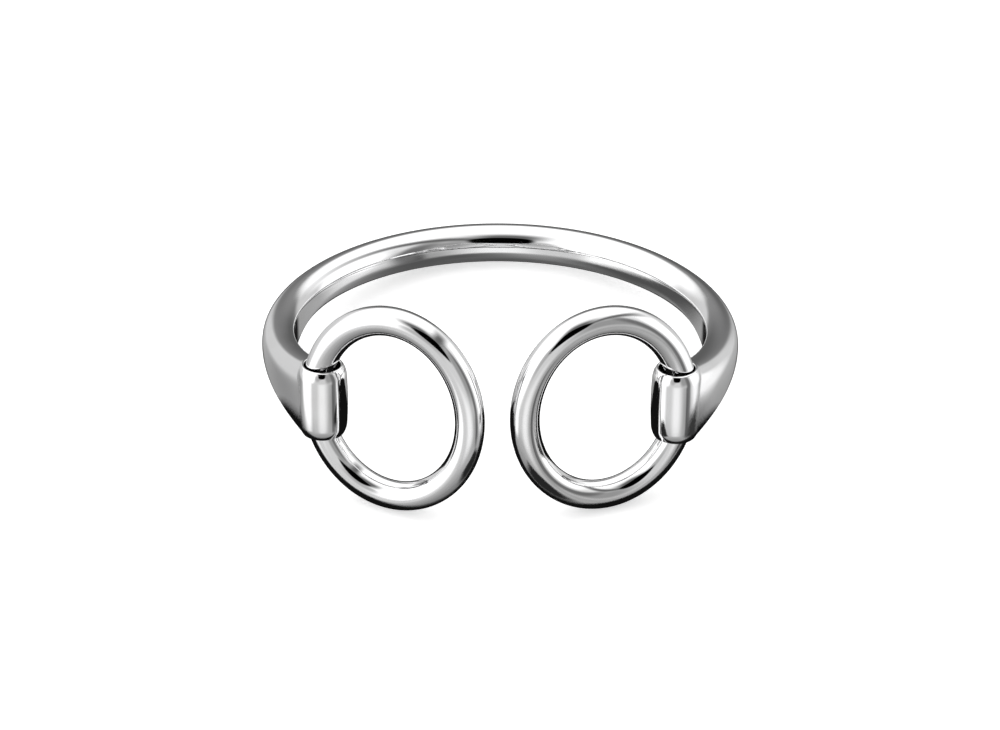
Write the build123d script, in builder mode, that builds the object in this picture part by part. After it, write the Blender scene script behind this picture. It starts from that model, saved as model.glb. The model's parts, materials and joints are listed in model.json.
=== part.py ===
"""Open metal cuff in the form of a loose-ring snaffle bit: a band with a barrel and a ring on each end.

Each piece is drawn in the band's own plane, +Z square to the band and +Y towards the middle of its back.
`standing` then carries it to its resting pose, on the back of the band and the foot of each ring.
"""

import os
from math import cos, hypot, radians, sin, sqrt

from build123d import *

os.makedirs("parts", exist_ok=True)

# Driving dimensions, in millimetres and degrees.
BAND_RADIUS = 30.5  # centre line of the bar
BAR_THICKNESS = 5.2  # inside to outside
BAR_HEIGHT = 5.7  # along the wrist
BACK_FLAT = 0.16  # the flat on the inside, as a share of the bar's height: narrow round the back
WEB_FLAT = 0.998  # and nearly the whole height at the barrel
FLARE_START = 42.0  # turn from the middle of the back at which the flat and then the bar begin to spread
WEB_THICKNESS = 6.7  # the spread end, where it meets the barrel
WEB_HEIGHT = 11.9
WEB_TRIM = 10.0  # the spread end is cut level with the barrel, just short of its mouths
ROUND = 0.552  # handles of the section's curves, as a share of its half widths: this one gives an ellipse
WEB_ROUND = 0.85  # and this one a squarer section at the barrel
BARREL_TURN = 128.5  # turn from the middle of the back to the barrel
BARREL_RISE = 0.3  # the barrel sits this much above the middle of the bar
BARREL_HEIGHT = 10.3
SHOULDER_HEIGHT = 7.2  # the barrel turns in more sharply beyond its shoulders, which are this far apart
BARREL_WAIST = 6.8  # outside diameters, half way up, at the shoulders and at the mouths
BARREL_SHOULDER = 6.58
BARREL_MOUTH = 5.56
BORE_WAIST = 6.1  # the bore is barrel-shaped too, so that the curved wire can turn in it
BORE_MOUTH = 5.0
RIM_RADIUS = 0.3  # rounding of the mouths, outside
LIP_RADIUS = 0.1  # and inside
WIRE = 4.0
RING_WIDTH = 22.3  # centre line of the oval ring, away from the barrel
RING_HEIGHT = 26.4  # centre line, along the barrel
RING_OFFSET = 0.95  # barrel's axis to the nearest point of that centre line
LEFT_SWING = 20.5  # each ring's swing forward of the line through both barrels
RIGHT_SWING = 17.0
REST_TILT = 12.5  # slope of the band, whose front is held up by the rings

# Worked out from those.
tilt = radians(REST_TILT)
barrel_x = BAND_RADIUS * sin(radians(BARREL_TURN))
barrel_y = BAND_RADIUS * cos(radians(BARREL_TURN))
ring_reach = RING_WIDTH / 2 - RING_OFFSET
band_foot = -BAND_RADIUS * sin(tilt) - hypot(BAR_HEIGHT / 2 * cos(tilt), BAR_THICKNESS / 2 * sin(tilt))
band_back = BAND_RADIUS * cos(tilt) + hypot(BAR_THICKNESS / 2 * cos(tilt), BAR_HEIGHT / 2 * sin(tilt))


def ring_centre(swing):
    """Middle of a ring swung forward, slid along its barrel until its foot is level with the band's back."""
    turn = radians(swing)
    y = barrel_y - ring_reach * sin(turn)
    foot = hypot(RING_WIDTH / 2 * sin(turn) * sin(tilt), RING_HEIGHT / 2 * cos(tilt)) + WIRE / 2
    z = (band_foot + foot + y * sin(tilt)) / cos(tilt)
    return barrel_x - ring_reach * cos(turn), y, z


def ring_front(swing):
    """Foremost point of a ring once the band is tilted."""
    _, y, z = ring_centre(swing)
    spread = hypot(RING_WIDTH / 2 * sin(radians(swing)) * cos(tilt), RING_HEIGHT / 2 * sin(tilt))
    return y * cos(tilt) + z * sin(tilt) - spread - WIRE / 2


front = min(ring_front(LEFT_SWING), ring_front(RIGHT_SWING))
standing = Location((0, -(band_back + front) / 2, -band_foot), (-REST_TILT, 0, 0))


def bar_section(turn):
    """Section of the bar at a turn from the middle of the back: round outside, flat inside."""
    share = max(turn - FLARE_START, 0) / (BARREL_TURN - FLARE_START)
    half_x = (BAR_THICKNESS + (WEB_THICKNESS - BAR_THICKNESS) * share**3) / 2
    half_z = (BAR_HEIGHT + (WEB_HEIGHT - BAR_HEIGHT) * share**4) / 2
    flat = BACK_FLAT + (WEB_FLAT - BACK_FLAT) * sin(radians(90 * share)) ** 1.6
    flat_x = half_x * sqrt(1 - flat**2)
    handle_x = half_x * (ROUND + (WEB_ROUND - ROUND) * share**2.5)
    handle_z = half_z * (ROUND + (WEB_ROUND - ROUND) * share**2.5)
    outward = (sin(radians(turn)), cos(radians(turn)), 0)
    along = (cos(radians(turn)), -sin(radians(turn)), 0)
    middle = (outward[0] * BAND_RADIUS, outward[1] * BAND_RADIUS, 0)
    with BuildSketch(Plane(middle, outward, along)) as section:
        with BuildLine():
            Bezier((half_x, 0), (half_x, handle_z), (handle_x, half_z), (0, half_z))
            Bezier((0, half_z), (-handle_x, half_z), (-half_x, handle_z), (-half_x, 0))
            Bezier((-half_x, 0), (-half_x, -handle_z), (-handle_x, -half_z), (0, -half_z))
            Bezier((0, -half_z), (handle_x, -half_z), (half_x, -handle_z), (half_x, 0))
        make_face()
        with Locations((-flat_x - half_x, 0)):
            Rectangle(2 * half_x, 4 * half_z, mode=Mode.SUBTRACT)
    return section.sketch


def barrel_section(waist, shoulder, mouth):
    """Half section of a barrel-shaped solid about the Z axis."""
    top = BARREL_HEIGHT / 2
    turn_in = SHOULDER_HEIGHT / 2
    with BuildSketch(Plane.XZ) as section:
        with BuildLine():
            body = ThreePointArc((shoulder / 2, -turn_in), (waist / 2, 0), (shoulder / 2, turn_in))
            TangentArc((shoulder / 2, turn_in), (mouth / 2, top), tangent=body % 1)
            Polyline((mouth / 2, top), (0, top), (0, -top), (mouth / 2, -top))
            TangentArc((shoulder / 2, -turn_in), (mouth / 2, -top), tangent=-(body % 0))
        make_face()
    return section.sketch


def mouth_edges(solid, diameter):
    """The circles of about this diameter at the two mouths of a barrel."""
    circles = solid.edges().filter_by(GeomType.CIRCLE)
    mouths = circles.filter_by(lambda edge: abs(edge.center().Z) > BARREL_HEIGHT * 0.49)
    return mouths.filter_by(lambda edge: abs(2 * edge.radius - diameter) < 0.01)


with BuildPart() as barrel_core:
    revolve(barrel_section(BARREL_WAIST, BARREL_SHOULDER, BARREL_MOUTH), Axis.Z)

with BuildPart() as barrel_bore:
    with BuildSketch(Plane.XZ):
        with BuildLine():
            top = BARREL_HEIGHT / 2
            ThreePointArc((BORE_MOUTH / 2, -top), (BORE_WAIST / 2, 0), (BORE_MOUTH / 2, top))
            Polyline((BORE_MOUTH / 2, top), (0, top), (0, -top), (BORE_MOUTH / 2, -top))
        make_face()
    revolve(axis=Axis.Z)

with BuildPart() as barrel:
    add(barrel_core.part)
    add(barrel_bore.part, mode=Mode.SUBTRACT)
    fillet(mouth_edges(barrel, BARREL_MOUTH), RIM_RADIUS)
    fillet(mouth_edges(barrel, BORE_MOUTH), LIP_RADIUS)

# The spread end of the bar is trimmed level with the barrel's mouths and scooped out to sit against it.
with BuildPart() as web:
    loft(sections=[bar_section(FLARE_START + (BARREL_TURN - FLARE_START) * i / 9) for i in range(10)])
    with Locations((0, 0, BARREL_RISE)):
        Box(4 * BAND_RADIUS, 4 * BAND_RADIUS, WEB_TRIM, mode=Mode.INTERSECT)
    with Locations((barrel_x, barrel_y, BARREL_RISE)):
        add(barrel_core.part, mode=Mode.SUBTRACT)

with BuildPart() as band_flat:
    revolve(bar_section(-FLARE_START), Axis.Z, revolution_arc=-2 * FLARE_START)
    add(web.part)
    mirror(web.part, about=Plane.YZ)

with BuildPart() as ring:
    with BuildLine(Plane.XZ):
        oval = EllipticalCenterArc((0, 0), RING_WIDTH / 2, RING_HEIGHT / 2, arc_size=360)
    with BuildSketch(Plane(oval @ 0, z_dir=oval % 0)):
        Circle(WIRE / 2)
    sweep(path=oval)

with BuildPart() as band:
    with Locations(standing):
        add(band_flat.part)
band.part.label = "band"
export_step(band.part, "parts/band.step")

with BuildPart() as left_barrel:
    with Locations(standing * Location((-barrel_x, barrel_y, BARREL_RISE))):
        add(barrel.part)
left_barrel.part.label = "left_barrel"
export_step(left_barrel.part, "parts/left_barrel.step")

with BuildPart() as right_barrel:
    with Locations(standing * Location((barrel_x, barrel_y, BARREL_RISE))):
        add(barrel.part)
right_barrel.part.label = "right_barrel"
export_step(right_barrel.part, "parts/right_barrel.step")

x, y, z = ring_centre(LEFT_SWING)
with BuildPart() as left_ring:
    with Locations(standing * Location((-x, y, z), (0, 0, -LEFT_SWING))):
        add(ring.part)
left_ring.part.label = "left_ring"
export_step(left_ring.part, "parts/left_ring.step")

x, y, z = ring_centre(RIGHT_SWING)
with BuildPart() as right_ring:
    with Locations(standing * Location((x, y, z), (0, 0, RIGHT_SWING))):
        add(ring.part)
right_ring.part.label = "right_ring"
export_step(right_ring.part, "parts/right_ring.step")
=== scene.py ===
"""Polished metal cuff in the form of a loose-ring snaffle bit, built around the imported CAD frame."""

import json
from math import asin, atan2, cos, hypot, pi, radians, sin, sqrt

import bpy
from mathutils import Matrix, Vector


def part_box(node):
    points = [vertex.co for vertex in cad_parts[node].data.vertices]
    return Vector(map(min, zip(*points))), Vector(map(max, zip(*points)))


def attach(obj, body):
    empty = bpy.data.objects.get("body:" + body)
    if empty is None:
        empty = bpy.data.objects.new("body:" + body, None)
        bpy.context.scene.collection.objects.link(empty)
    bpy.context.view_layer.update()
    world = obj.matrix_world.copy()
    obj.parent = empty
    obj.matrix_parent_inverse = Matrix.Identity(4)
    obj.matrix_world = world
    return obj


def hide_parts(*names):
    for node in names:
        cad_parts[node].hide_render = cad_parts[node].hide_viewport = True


MM = 0.001

# Driving dimensions, in millimetres and degrees, as in the CAD.
BAND_RADIUS = 30.5
BAR_THICKNESS = 5.2
BAR_HEIGHT = 5.7
BACK_FLAT = 0.16
FLARE_START = 42.0
WEB_THICKNESS = 6.7
WEB_HEIGHT = 11.9
WEB_TRIM = 10.0
WEB_FLAT = 0.998
ROUND = 0.552
WEB_ROUND = 0.85
BARREL_TURN = 128.5
BARREL_RISE = 0.3
BARREL_HEIGHT = 10.3
SHOULDER_HEIGHT = 7.2
BARREL_WAIST = 6.8
BARREL_SHOULDER = 6.58
BARREL_MOUTH = 5.56
BORE_WAIST = 6.1
BORE_MOUTH = 5.0
RIM_RADIUS = 0.3
LIP_RADIUS = 0.1
WIRE = 4.0
RING_WIDTH = 22.3
RING_HEIGHT = 26.4

# Finer form that only the looks need. The braze fillet between the bar's end and a barrel follows a rolling
# ball, which is larger at the sides than along the top and bottom ridges.
CREASE_SOFTNESS = 0.06
FILLET_SIDE = 2.6
FILLET_RIDGE = 1.2
CAP_INSET = 0.12  # how far the bar's closed ends reach inside the barrel's wall

# How finely the meshes are divided: angles in degrees, the rest as counts.
BAND_STEP = 1.25
BLEND_TURN = 4.0  # the stretch at each end over which the sections lean to meet the fillet
BLEND_STEPS = 8
FILLET_STEPS = 10
SECTION_POINTS = 128
BARREL_SEGMENTS = 128
BORE_ROWS = 24
RING_SEGMENTS = 224
WIRE_SEGMENTS = 56

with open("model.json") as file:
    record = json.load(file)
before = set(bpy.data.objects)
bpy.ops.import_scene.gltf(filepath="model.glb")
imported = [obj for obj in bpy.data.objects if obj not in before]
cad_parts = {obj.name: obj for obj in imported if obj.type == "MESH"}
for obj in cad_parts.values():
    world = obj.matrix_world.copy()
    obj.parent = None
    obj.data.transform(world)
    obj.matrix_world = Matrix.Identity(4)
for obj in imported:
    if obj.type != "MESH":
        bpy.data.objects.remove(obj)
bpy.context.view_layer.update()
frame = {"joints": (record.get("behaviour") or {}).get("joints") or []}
joints = {joint["name"]: joint for joint in frame["joints"]}
left_pivot = Vector(joints["left_ring_swing"]["pos_m"])
right_pivot = Vector(joints["right_ring_swing"]["pos_m"])
band_normal = Vector(joints["left_ring_swing"]["axis"]).normalized()
band_tilt = atan2(band_normal.y, band_normal.z)

barrel_x = BAND_RADIUS * sin(radians(BARREL_TURN))
barrel_y = BAND_RADIUS * cos(radians(BARREL_TURN))
# From the band's own plane, in millimetres, to the frame, in metres.
lean = Matrix.Rotation(-band_tilt, 4, "X")
middle = (left_pivot + right_pivot) / 2 - lean @ Vector((0, barrel_y, 0)) * MM
standing = Matrix.Translation(middle) @ lean @ Matrix.Scale(MM, 4)


def make_object(name, points, faces, place=standing):
    """A smooth-shaded mesh object with its vertices placed in the frame."""
    mesh = bpy.data.meshes.new(name)
    mesh.from_pydata([place @ Vector(point) for point in points], [], faces)
    mesh.validate()
    mesh.shade_smooth()
    item = bpy.data.objects.new(name, mesh)
    bpy.context.scene.collection.objects.link(item)
    return item


def bridge(loops, closed_length=False):
    """Quads from each loop of points to the next, and from the last to the first if the length is closed."""
    count = len(loops[0])
    faces = []
    for i in range(len(loops) if closed_length else len(loops) - 1):
        j = (i + 1) % len(loops)
        for k in range(count):
            n = (k + 1) % count
            faces.append((i * count + k, i * count + n, j * count + n, j * count + k))
    return faces


def soft_floor(value, floor, softness):
    """The greater of a value and a floor, with the corner between them rounded."""
    gap = value - floor
    return floor + (gap + hypot(gap, softness)) / 2


def trim_height(height):
    """A height on the bar's end, cut level just short of the barrel's mouths."""
    return max(BARREL_RISE - WEB_TRIM / 2, min(BARREL_RISE + WEB_TRIM / 2, height))


def section_angle(index):
    """The angle of a numbered point on the bar's section."""
    return 2 * pi * index / SECTION_POINTS


def outward_at(turn):
    """The level direction away from the band's middle, at a turn in degrees from the middle of the back."""
    return Vector((sin(radians(turn)), cos(radians(turn)), 0))


def section_offset(turn, angle):
    """(outward, upward) offset of the bar's surface from its centre line: the CAD's, with soft creases."""
    share = max(abs(turn) - FLARE_START, 0) / (BARREL_TURN - FLARE_START)
    half_x = (BAR_THICKNESS + (WEB_THICKNESS - BAR_THICKNESS) * share**3) / 2
    half_z = (BAR_HEIGHT + (WEB_HEIGHT - BAR_HEIGHT) * share**4) / 2
    flat = BACK_FLAT + (WEB_FLAT - BACK_FLAT) * sin(radians(90 * share)) ** 1.6
    handle = ROUND + (WEB_ROUND - ROUND) * share**2.5
    quarter, t = divmod(angle / (pi / 2), 1)
    quarter = int(quarter) % 4
    if quarter % 2:
        t = 1 - t
    out = (1 - t) ** 3 + 3 * (1 - t) ** 2 * t + 3 * (1 - t) * t**2 * handle
    rise = 3 * (1 - t) ** 2 * t * handle + 3 * (1 - t) * t**2 + t**3
    out = half_x * (out if quarter in (0, 3) else -out)
    rise = trim_height(half_z * rise * (1 if quarter < 2 else -1))
    return soft_floor(out, -half_x * sqrt(1 - flat**2), CREASE_SOFTNESS), rise


def bar_point(turn, angle):
    """A point on the bar's surface, in the band's own plane."""
    out, rise = section_offset(turn, angle)
    return outward_at(turn) * (BAND_RADIUS + out) + Vector((0, 0, rise))


def bulge_radius(waist, edge, height):
    """Radius of an arc with both ends at one diameter, a height apart, that bulges to another half way."""
    drop = (waist - edge) / 2
    return ((height / 2) ** 2 + drop**2) / (2 * drop)


bore_arc = bulge_radius(BORE_WAIST, BORE_MOUTH, BARREL_HEIGHT)
body_arc = bulge_radius(BARREL_WAIST, BARREL_SHOULDER, SHOULDER_HEIGHT)
body_centre = BARREL_WAIST / 2 - body_arc
body_slope = asin(SHOULDER_HEIGHT / 2 / body_arc)
# The shoulder's arc carries on from the body's with the same slope, as far as the mouth.
shoulder_run = Vector((BARREL_MOUTH - BARREL_SHOULDER, BARREL_HEIGHT - SHOULDER_HEIGHT)) / 2
shoulder_way = Vector((cos(body_slope), sin(body_slope)))
shoulder_arc = -shoulder_run.length_squared / (2 * shoulder_run.dot(shoulder_way))
shoulder_centre = Vector((BARREL_SHOULDER / 2, SHOULDER_HEIGHT / 2)) - shoulder_way * shoulder_arc


def barrel_surface(height):
    """Outside radius of a barrel at a height from its middle."""
    height = abs(height)
    if height < SHOULDER_HEIGHT / 2:
        return body_centre + sqrt(body_arc**2 - height**2)
    return shoulder_centre.x + sqrt(shoulder_arc**2 - (height - shoulder_centre.y) ** 2)


def barrel_distance(point, side):
    """Distance from a point to the barrel's outside, and the outward direction there."""
    flat = Vector((point.x - side * barrel_x, point.y - barrel_y, 0))
    height = point.z - BARREL_RISE
    offset, radius = Vector((flat.length - body_centre, abs(height))), body_arc
    if atan2(offset.y, offset.x) > body_slope:
        offset, radius = Vector((flat.length, abs(height))) - shoulder_centre, shoulder_arc
    direction = offset.normalized()
    upward = direction.y if height > 0 else -direction.y
    return offset.length - radius, flat.normalized() * direction.x + Vector((0, 0, upward))


def bar_normal(turn, angle):
    """Outward normal of the bar's surface, from neighbouring points."""
    step, nudge = 0.01, 0.05
    around = bar_point(turn, angle + step) - bar_point(turn, angle - step)
    along = bar_point(turn + nudge, angle) - bar_point(turn - nudge, angle)
    normal = along.cross(around).normalized()
    guess = outward_at(turn) * cos(angle) + Vector((0, 0, sin(angle)))
    return normal if normal.dot(guess) > 0 else -normal


def seat_ball(side, angle, ball):
    """The turn at which a ball resting on the bar just touches the barrel, and the ball's centre there."""
    # At the low turn the ball is clear of the barrel, and at the high turn it overlaps it.
    low, high = FLARE_START + 45, BARREL_TURN
    for _ in range(40):
        turn = (low + high) / 2
        centre = bar_point(side * turn, angle) + bar_normal(side * turn, angle) * ball
        if barrel_distance(centre, side)[0] > ball:
            low = turn
        else:
            high = turn
    return low, bar_point(side * low, angle) + bar_normal(side * low, angle) * ball


def fillet_loops(side):
    """The turns where the fillet leaves the bar, and the loops round it as far as the barrel's outside."""
    turns = []
    arcs = []
    for k in range(SECTION_POINTS):
        angle = section_angle(k)
        ball = FILLET_RIDGE + (FILLET_SIDE - FILLET_RIDGE) * abs(cos(angle)) ** 0.8
        turn, centre = seat_ball(side, angle, ball)
        turns.append(turn)
        arcs.append((centre, -bar_normal(side * turn, angle), -barrel_distance(centre, side)[1], ball))
    loops = []
    for i in range(1, FILLET_STEPS + 1):
        share = i / FILLET_STEPS
        loop = []
        for centre, start, end, ball in arcs:
            swing = start.angle(end)
            if swing < 1e-4:
                direction = start
            else:
                direction = (start * sin((1 - share) * swing) + end * sin(share * swing)) / sin(swing)
            spot = centre + direction * ball
            spot.z = trim_height(spot.z)
            loop.append(spot)
        loops.append(loop)
    return turns, loops


def cap_loops(edge, side):
    """Ever smaller loops that close the bar's end, curved like the barrel and just inside its wall."""
    axis = Vector((side * barrel_x, barrel_y, 0))
    centre = sum(edge, Vector()) / len(edge)
    loops = []
    for share in (1.0, 0.7, 0.4, 0.12):
        loop = []
        for point in edge:
            spot = centre + (point - centre) * share
            flat = Vector((spot.x - axis.x, spot.y - axis.y, 0)).normalized()
            reach = barrel_surface(spot.z - BARREL_RISE) - CAP_INSET
            loop.append(axis + flat * reach + Vector((0, 0, spot.z)))
        loops.append(loop)
    return loops


def build_band():
    """The bar, swept round the back, flared towards each end and filleted on to the barrels."""
    angles = [section_angle(k) for k in range(SECTION_POINTS)]
    fillets = {side: fillet_loops(side) for side in (-1, 1)}
    # The sections stand square to the bar up to this turn.
    square = min(min(turns) for turns, _loops in fillets.values()) - BLEND_TURN
    count = int(round(2 * square / BAND_STEP))
    loops = []
    for i in range(count + 1):
        turn = -square + 2 * square * i / count
        loops.append([bar_point(turn, angle) for angle in angles])
    for side, (turns, fillet) in fillets.items():
        end = []
        for i in range(1, BLEND_STEPS + 1):
            blended = [side * (square + (turn - square) * i / BLEND_STEPS) for turn in turns]
            end.append([bar_point(turn, angle) for turn, angle in zip(blended, angles)])
        end += fillet
        end += cap_loops(end[-1], side)
        loops = loops + end if side > 0 else end[::-1] + loops
    points = [point for loop in loops for point in loop]
    last = len(points) - SECTION_POINTS
    faces = bridge(loops)
    faces.append(tuple(range(SECTION_POINTS)))
    faces.append(tuple(range(last, last + SECTION_POINTS))[::-1])
    return make_object("band_bar", points, faces)


def barrel_profile():
    """Closed half section of a barrel as (radius, height) points: outside, over the mouth, down the bore."""
    top = BARREL_HEIGHT / 2
    rim_slope = asin((top - RIM_RADIUS - shoulder_centre.y) / (shoulder_arc - RIM_RADIUS))
    rim_x = shoulder_centre.x + (shoulder_arc - RIM_RADIUS) * cos(rim_slope)
    arcs = (
        (body_centre, 0, body_arc, 0, body_slope, 16),
        (shoulder_centre.x, shoulder_centre.y, shoulder_arc, body_slope, rim_slope, 14),
        (rim_x, top - RIM_RADIUS, RIM_RADIUS, rim_slope, pi / 2, 8),
        (BORE_MOUTH / 2 + LIP_RADIUS, top - LIP_RADIUS, LIP_RADIUS, pi / 2, pi, 6),
    )
    half = [(BARREL_WAIST / 2, 0)]
    for x, z, radius, start, end, steps in arcs:
        for i in range(1, steps + 1):
            angle = start + (end - start) * i / steps
            half.append((x + radius * cos(angle), z + radius * sin(angle)))
    for i in range(1, BORE_ROWS + 1):
        z = (top - LIP_RADIUS) * (1 - i / BORE_ROWS)
        half.append((BORE_WAIST / 2 - bore_arc + sqrt(bore_arc**2 - z**2), z))
    return half + [(r, -z) for r, z in half[-2:0:-1]]


def build_barrel(name, pivot):
    """A bulged tube with rounded mouths, turned about the swing's axis."""
    profile = barrel_profile()
    loops = []
    for i in range(BARREL_SEGMENTS):
        angle = 2 * pi * i / BARREL_SEGMENTS
        loops.append([(r * cos(angle), r * sin(angle), z) for r, z in profile])
    points = [point for loop in loops for point in loop]
    place = Matrix.Translation(pivot + band_normal * BARREL_RISE * MM) @ lean @ Matrix.Scale(MM, 4)
    return make_object(name, points, bridge(loops, closed_length=True), place)


def build_ring(name, cad_ring, pivot):
    """A closed oval of round wire, centred on the CAD's ring and swung as far about its barrel."""
    low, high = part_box(cad_ring)
    centre = (low + high) / 2
    arm = centre - pivot
    reach = (arm - band_normal * arm.dot(band_normal)).normalized()
    side = reach.cross(band_normal).normalized()
    loops = []
    for i in range(RING_SEGMENTS):
        turn = 2 * pi * i / RING_SEGMENTS
        spot = reach * (RING_WIDTH / 2 * cos(turn)) + band_normal * (RING_HEIGHT / 2 * sin(turn))
        ahead = reach * (-RING_WIDTH / 2 * sin(turn)) + band_normal * (RING_HEIGHT / 2 * cos(turn))
        out = ahead.cross(side).normalized()
        loop = []
        for k in range(WIRE_SEGMENTS):
            angle = 2 * pi * k / WIRE_SEGMENTS
            loop.append(spot + (out * cos(angle) + side * sin(angle)) * (WIRE / 2))
        loops.append(loop)
    points = [point for loop in loops for point in loop]
    place = Matrix.Translation(centre) @ Matrix.Scale(MM, 4)
    return make_object(name, points, bridge(loops, closed_length=True), place)


def feed(tree, socket, value):
    """Gives a socket its value, which is another socket or a plain one."""
    if isinstance(value, bpy.types.NodeSocket):
        tree.links.new(value, socket)
    else:
        socket.default_value = value


def node(tree, kind, **inputs):
    """A shader node with some of its inputs given by name."""
    made = tree.nodes.new(kind)
    for name, value in inputs.items():
        feed(tree, made.inputs[name], value)
    return made


def math_node(tree, operation, *values):
    """The result of a Math node on sockets or numbers."""
    made = tree.nodes.new("ShaderNodeMath")
    made.operation = operation
    for socket, value in zip(made.inputs, values):
        feed(tree, socket, value)
    return made.outputs[0]


def silver():
    """Mirror-polished silver with hairlines, uneven polish, faint casting ripples and a little tarnish."""
    material = bpy.data.materials.new("polished_silver")
    material.use_nodes = True
    tree = material.node_tree
    shader = tree.nodes["Principled BSDF"]
    place = tree.nodes.new("ShaderNodeTexCoord").outputs["Object"]
    shader.inputs["Metallic"].default_value = 1.0

    def noise(scale, detail, where=place):
        return node(tree, "ShaderNodeTexNoise", Vector=where, Scale=scale, Detail=detail).outputs["Fac"]

    def spread(value, low, high, from_low=0.0, from_high=1.0):
        made = node(tree, "ShaderNodeMapRange", Value=value)
        made.inputs["From Min"].default_value = from_low
        made.inputs["From Max"].default_value = from_high
        made.inputs["To Min"].default_value = low
        made.inputs["To Max"].default_value = high
        return made.outputs["Result"]

    # Hairlines left by polishing: noise stretched along three slanted directions.
    hairlines = []
    for tilt in ((0.4, 0.2, 0.9), (1.3, 0.7, -0.5), (-0.6, 1.1, 0.3)):
        stretch = tree.nodes.new("ShaderNodeMapping")
        stretch.inputs["Rotation"].default_value = tilt
        stretch.inputs["Scale"].default_value = (60.0, 5200.0, 5200.0)
        tree.links.new(place, stretch.inputs["Vector"])
        hairlines.append(spread(noise(1.0, 1.0, stretch.outputs["Vector"]), 0.0, 1.0, 0.63, 0.72))
    scratches = math_node(tree, "MAXIMUM", math_node(tree, "MAXIMUM", *hairlines[:2]), hairlines[2])

    haze = spread(noise(160.0, 4.0), 0.02, 0.07, 0.35, 0.7)
    roughness = math_node(tree, "MULTIPLY_ADD", scratches, 0.07, haze)
    tree.links.new(roughness, shader.inputs["Roughness"])

    tarnish = tree.nodes.new("ShaderNodeMix")
    tarnish.data_type = "RGBA"
    tree.links.new(spread(noise(90.0, 5.0), 0.0, 1.0, 0.5, 0.8), tarnish.inputs[0])
    tarnish.inputs[6].default_value = (0.95, 0.95, 0.955, 1)
    tarnish.inputs[7].default_value = (0.86, 0.855, 0.85, 1)
    tree.links.new(tarnish.outputs[2], shader.inputs["Base Color"])

    ripple = tree.nodes.new("ShaderNodeBump")
    ripple.inputs["Strength"].default_value = 1.0
    ripple.inputs["Distance"].default_value = 0.00002
    tree.links.new(noise(170.0, 1.0), ripple.inputs["Height"])
    fine = tree.nodes.new("ShaderNodeBump")
    fine.invert = True
    fine.inputs["Strength"].default_value = 0.5
    fine.inputs["Distance"].default_value = 0.000001
    tree.links.new(scratches, fine.inputs["Height"])
    tree.links.new(ripple.outputs["Normal"], fine.inputs["Normal"])
    tree.links.new(fine.outputs["Normal"], shader.inputs["Normal"])
    return material


# Brightness of the plain surroundings at each elevation, in degrees: table, walls and overhead diffuser.
SURROUNDINGS = (
    (-90, 0.08),
    (-77, 0.12),
    (-58, 0.23),
    (-42, 0.33),
    (-30, 0.43),
    (-18, 0.64),
    (20, 0.66),
    (45, 0.8),
    (75, 1.0),
)

# Patches on the tent: azimuth (0 is behind the object, 90 to its right), elevation, half width and half
# height, all in degrees, then edge softness and brightness. Each is laid over those before it.
PATCHES = (
    (-108, -18, 24, 12, 0.30, 1.15),  # foot of the left softbox
    (78, -18, 27, 13, 0.35, 1.0),  # foot of the right softbox
    (-58, -34, 14, 10, 0.9, 0.28),  # dim corner behind on the left
    (0, -38, 16, 30, 0.25, 0.01),  # shaded table behind
    (3, 1, 24, 19, 0.20, 0.26),  # back wall
    (5, -8, 19, 15, 0.7, 0.11),  # and its darker foot
    (0, 58, 62, 34, 0.25, 1.25),  # diffuser behind
    (-105, 28, 42, 38, 0.20, 1.35),  # left softbox
    (84, 8, 24, 28, 0.25, 1.25),  # right softbox
    (180, -14, 15, 11, 0.7, 0.93),  # light falling on the table in front
    (140, -19, 12, 11, 0.8, 0.36),  # its dim edge
    (131, -20, 6, 9, 0.7, 0.04),  # and the shadow beside it
    (143, 22, 18, 24, 0.5, 0.32),  # grey card to the right of the camera
    (-156, 24, 10, 14, 0.6, 0.48),  # and one to its left
    (126, 6, 9, 40, 0.6, 0.16),  # dark gap between the right softbox and the camera
    (118, 56, 52, 7, 0.8, 0.14),  # dark bar high on the right
    (-173, 59, 17, 16, 0.6, 0.14),  # dim space over the camera
    (180, 40, 17, 17, 0.14, 0.0),  # camera
)

# Painted shade on the table, seen only in the metal's reflections where the table lies in shadow: middle (x,
# y) and half size in millimetres, then edge softness and brightness.
PAINTED_SHADES = (
    (-1.5, -18.5, 41, 12.5, 0.1, 0.006),  # under the rings and the barrels
    (45, -27, 9, 12, 0.6, 0.04),  # in front of the right barrel
    (5, -37, 7, 6, 0.3, 0.02),  # in front of the gap between the rings
    (13, 17, 7, 5, 0.7, 0.08),  # inside the band, behind on the right
    (-8, 21, 9, 4, 0.7, 0.09),  # and on the left
)


def blend_levels(tree, share, low, high):
    """One brightness faded into another; each may be a socket or a number."""
    mix = tree.nodes.new("ShaderNodeMix")
    feed(tree, mix.inputs[0], share)
    feed(tree, mix.inputs[2], low)
    feed(tree, mix.inputs[3], high)
    return mix.outputs[0]


def soft_edge(tree, far, edge):
    """1 inside a patch, where the distance is below 1, and 0 outside, with a smooth edge."""
    fade = node(tree, "ShaderNodeMapRange", Value=far)
    fade.interpolation_type = "SMOOTHSTEP"
    fade.inputs["From Min"].default_value = 1 - edge
    fade.inputs["From Max"].default_value = 1 + edge
    fade.inputs["To Min"].default_value = 1
    fade.inputs["To Max"].default_value = 0
    return fade.outputs["Result"]


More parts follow.
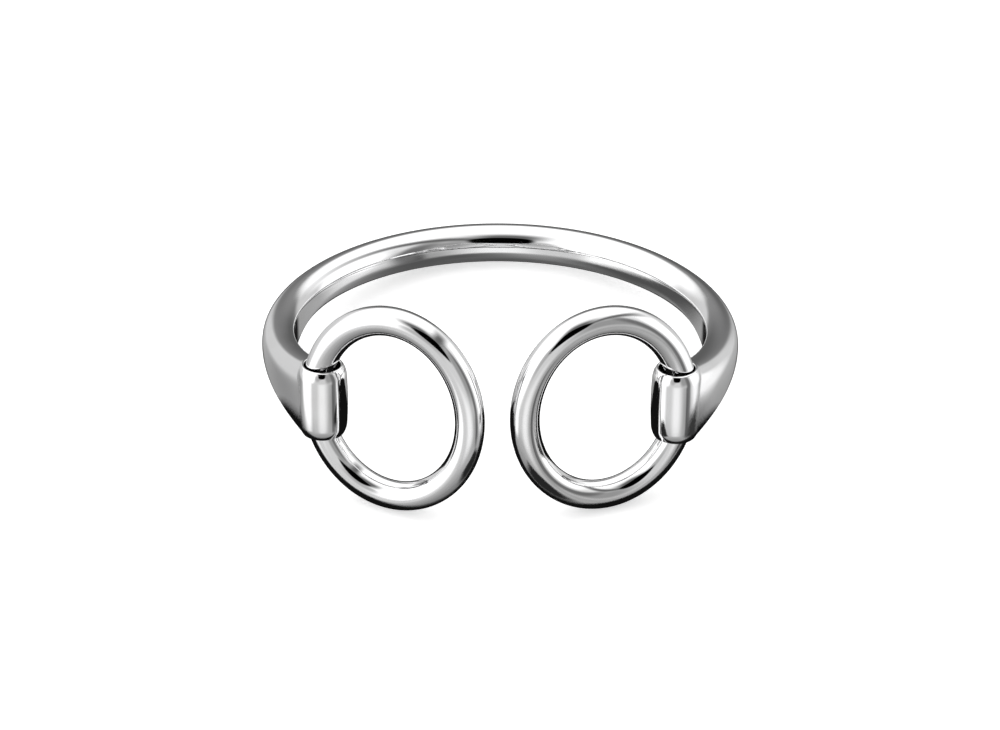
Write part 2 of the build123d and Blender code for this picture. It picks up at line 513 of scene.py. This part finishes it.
def world_light():
    """A light tent whose brightness changes with height, with soft patches on it; the camera sees white."""
    world = bpy.data.worlds.new("studio")
    bpy.context.scene.world = world
    world.use_nodes = True
    tree = world.node_tree
    background = tree.nodes["Background"]
    direction = tree.nodes.new("ShaderNodeTexCoord").outputs["Generated"]

    def along(axis):
        made = tree.nodes.new("ShaderNodeVectorMath")
        made.operation = "DOT_PRODUCT"
        tree.links.new(direction, made.inputs[0])
        made.inputs[1].default_value = axis
        return made.outputs["Value"]

    height = math_node(tree, "ARCSINE", along((0, 0, 1)))
    ramp = tree.nodes.new("ShaderNodeValToRGB")
    tree.links.new(math_node(tree, "MULTIPLY_ADD", height, 1 / pi, 0.5), ramp.inputs["Fac"])
    ramp.color_ramp.interpolation = "EASE"
    stops = ramp.color_ramp.elements
    stops.remove(stops[1])
    stops[0].position = 0
    for elevation, shade in SURROUNDINGS:
        stop = stops[0] if elevation == -90 else stops.new(elevation / 180 + 0.5)
        stop.color = (shade, shade, shade, 1)
    level = ramp.outputs["Color"]
    for azimuth, elevation, width, tall, edge, shade in PATCHES:
        a, e = radians(azimuth), radians(elevation)
        toward = Vector((sin(a) * cos(e), cos(a) * cos(e), sin(e)))
        across = Vector((cos(a), -sin(a), 0))
        above = across.cross(toward)
        turn_x = math_node(tree, "ARCTAN2", along(across), along(toward))
        turn_y = math_node(tree, "ARCSINE", along(above))
        powers = []
        for turn, half in ((turn_x, width), (turn_y, tall)):
            share = math_node(tree, "ABSOLUTE", math_node(tree, "DIVIDE", turn, radians(half)))
            powers.append(math_node(tree, "POWER", share, 3.0))
        far = math_node(tree, "POWER", math_node(tree, "ADD", *powers), 1 / 3)
        level = blend_levels(tree, soft_edge(tree, far, edge), level, shade)
    seen = tree.nodes.new("ShaderNodeLightPath").outputs["Is Camera Ray"]
    tree.links.new(blend_levels(tree, seen, level, 1.0), background.inputs["Color"])


def plane(name, half, height):
    """A square sheet lying flat, and the nodes of its own material."""
    mesh = bpy.data.meshes.new(name)
    corners = [(-half, -half, height), (half, -half, height), (half, half, height), (-half, half, height)]
    mesh.from_pydata(corners, [], [(0, 1, 2, 3)])
    sheet = bpy.data.objects.new(name, mesh)
    bpy.context.scene.collection.objects.link(sheet)
    material = bpy.data.materials.new(name)
    material.use_nodes = True
    mesh.materials.append(material)
    return sheet, material.node_tree


def build_floor():
    """A plain pale floor under the cuff."""
    floor, tree = plane("floor", 4.0, 0)
    shader = tree.nodes["Principled BSDF"]
    shader.inputs["Base Color"].default_value = (0.9, 0.9, 0.9, 1)
    shader.inputs["Roughness"].default_value = 0.9
    shader.inputs["Specular IOR Level"].default_value = 0.0
    shader.inputs["Emission Color"].default_value = (1, 1, 1, 1)
    shader.inputs["Emission Strength"].default_value = 0.55
    floor.visible_glossy = False


def build_painted_shade(name, below, x, y, half_x, half_y, edge, shade):
    """A painted shade: a dark sheet on the table, seen only in the metal's reflections, standing in for
    shadow there.
    """
    sheet, tree = plane(name, 0.1, -below)
    tree.nodes.remove(tree.nodes["Principled BSDF"])
    place = tree.nodes.new("ShaderNodeTexCoord").outputs["Object"]
    place = node(tree, "ShaderNodeSeparateXYZ", Vector=place).outputs
    powers = []
    for axis, at, half in ((0, x, half_x), (1, y, half_y)):
        offset = math_node(tree, "SUBTRACT", place[axis], at * MM)
        powers.append(math_node(tree, "POWER", math_node(tree, "DIVIDE", offset, half * MM), 4.0))
    far = math_node(tree, "POWER", math_node(tree, "ADD", *powers), 0.25)
    dark = node(tree, "ShaderNodeEmission", Color=(shade, shade, shade, 1))
    clear = tree.nodes.new("ShaderNodeBsdfTransparent")
    mix = tree.nodes.new("ShaderNodeMixShader")
    tree.links.new(soft_edge(tree, far, edge), mix.inputs[0])
    tree.links.new(clear.outputs[0], mix.inputs[1])
    tree.links.new(dark.outputs[0], mix.inputs[2])
    tree.links.new(mix.outputs[0], tree.nodes["Material Output"].inputs["Surface"])
    sheet.visible_camera = False
    sheet.visible_diffuse = False
    sheet.visible_shadow = False


def build_camera():
    """The photographer's view: nearly square on, 40 degrees above the table, with a long lens."""
    azimuth, elevation, roll = radians(-0.2), radians(39.8), radians(0.4)
    distance, width_at_object, aim_below = 0.5, 0.14, 0.0039
    ahead = Vector((sin(azimuth) * cos(elevation), cos(azimuth) * cos(elevation), -sin(elevation)))
    place = middle - ahead * distance
    right = ahead.cross(Vector((0, 0, 1))).normalized()
    ahead = (ahead * distance - right.cross(ahead) * aim_below).normalized()
    up = right.cross(ahead)
    right, up = right * cos(roll) + up * sin(roll), up * cos(roll) - right * sin(roll)
    data = bpy.data.cameras.new("camera")
    data.sensor_width = 36
    data.lens = data.sensor_width * distance / width_at_object
    data.clip_start = 0.01
    camera = bpy.data.objects.new("camera", data)
    bpy.context.scene.collection.objects.link(camera)
    turn = Matrix((right, up, -ahead)).transposed().to_4x4()
    camera.matrix_world = Matrix.Translation(place) @ turn
    bpy.context.scene.camera = camera


band = build_band()
left_barrel = build_barrel("left_barrel_tube", left_pivot)
right_barrel = build_barrel("right_barrel_tube", right_pivot)
left_ring = build_ring("left_ring_wire", "left_ring", left_pivot)
right_ring = build_ring("right_ring_wire", "right_ring", right_pivot)
finish = silver()
for piece, cad_node, body in (
    (band, "band", "cuff"),
    (left_barrel, "left_barrel", "cuff"),
    (right_barrel, "right_barrel", "cuff"),
    (left_ring, "left_ring", "left_ring"),
    (right_ring, "right_ring", "right_ring"),
):
    piece.data.materials.append(finish)
    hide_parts(cad_node)
    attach(piece, body)

build_floor()
# Painted shade sheets on the table, seen only in the metal's reflections.
for index, shade in enumerate(PAINTED_SHADES):
    build_painted_shade("painted_table_shade_%d" % (index + 1), 0.0001 * (index + 1), *shade)
world_light()
build_camera()
bpy.context.scene.view_settings.view_transform = "Standard"
